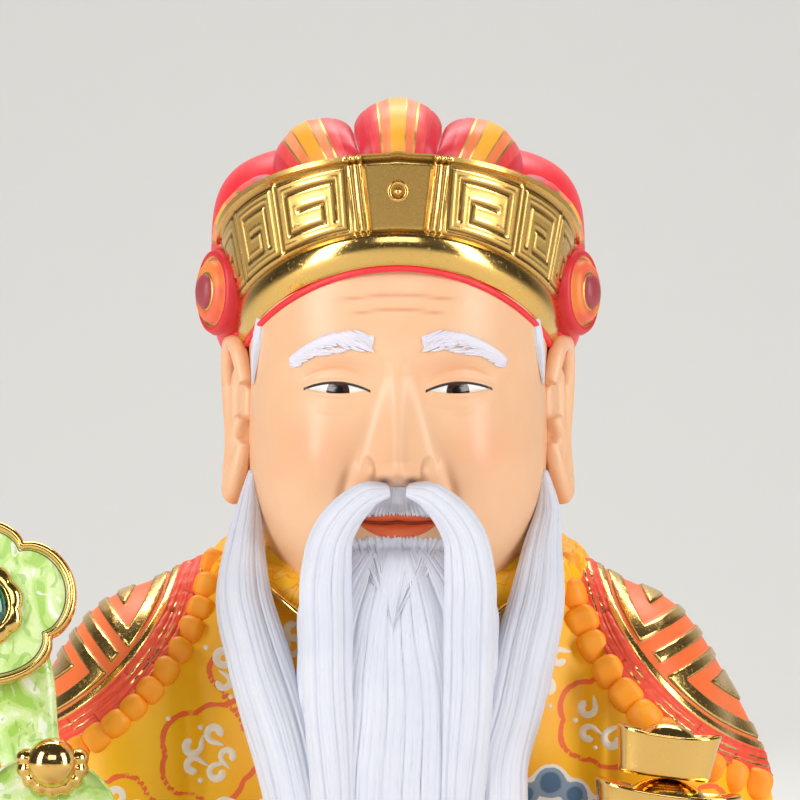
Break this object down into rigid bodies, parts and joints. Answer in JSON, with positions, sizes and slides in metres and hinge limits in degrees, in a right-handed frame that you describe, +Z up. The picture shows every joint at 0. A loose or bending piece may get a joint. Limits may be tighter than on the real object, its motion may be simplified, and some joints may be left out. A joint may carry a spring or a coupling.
{
  "type": "painted wood earth god statue",
  "caption": "Half-length bust of a bearded earth god in painted and gilt wood, in a gold-banded ribbed hat, holding a jade-green ruyi sceptre and boat-shaped gold ingots.",
  "frame": {"origin": "the middle of the flat cut below, straight under the middle of the face", "axes": "+Z up; the face looks along -Y; +X is to the right as the picture shows it, the side of the ingots"},
  "size_m": [0.2682, 0.1597, 0.2625],
  "materials": {
    "painted_wood": "carved wood under matt orange-yellow paint",
    "skin_paint": "smooth matt peach paint",
    "beard_white": "matt white paint over carved strands",
    "robe_yellow": "matt orange-yellow paint with painted clouds",
    "robe_red": "matt red-orange paint with gold lines",
    "hat_red": "matt red, salmon and yellow stripes with gold lines",
    "motif_white": "thick matt white paint",
    "gold_leaf": "burnished gold leaf over lacquer",
    "jade_green": "glossy lacquer marbled green and white, with a gilt rim",
    "jewel_green": "polished dark green cabochon"
  },
  "bodies": {
    "root": {"figure": "painted_wood", "ruyi_sceptre": "jade_green", "sceptre_jewel": "jewel_green", "gold_ingot_lower": "gold_leaf", "gold_ingot_upper": "gold_leaf"}
  },
  "joints": []
}
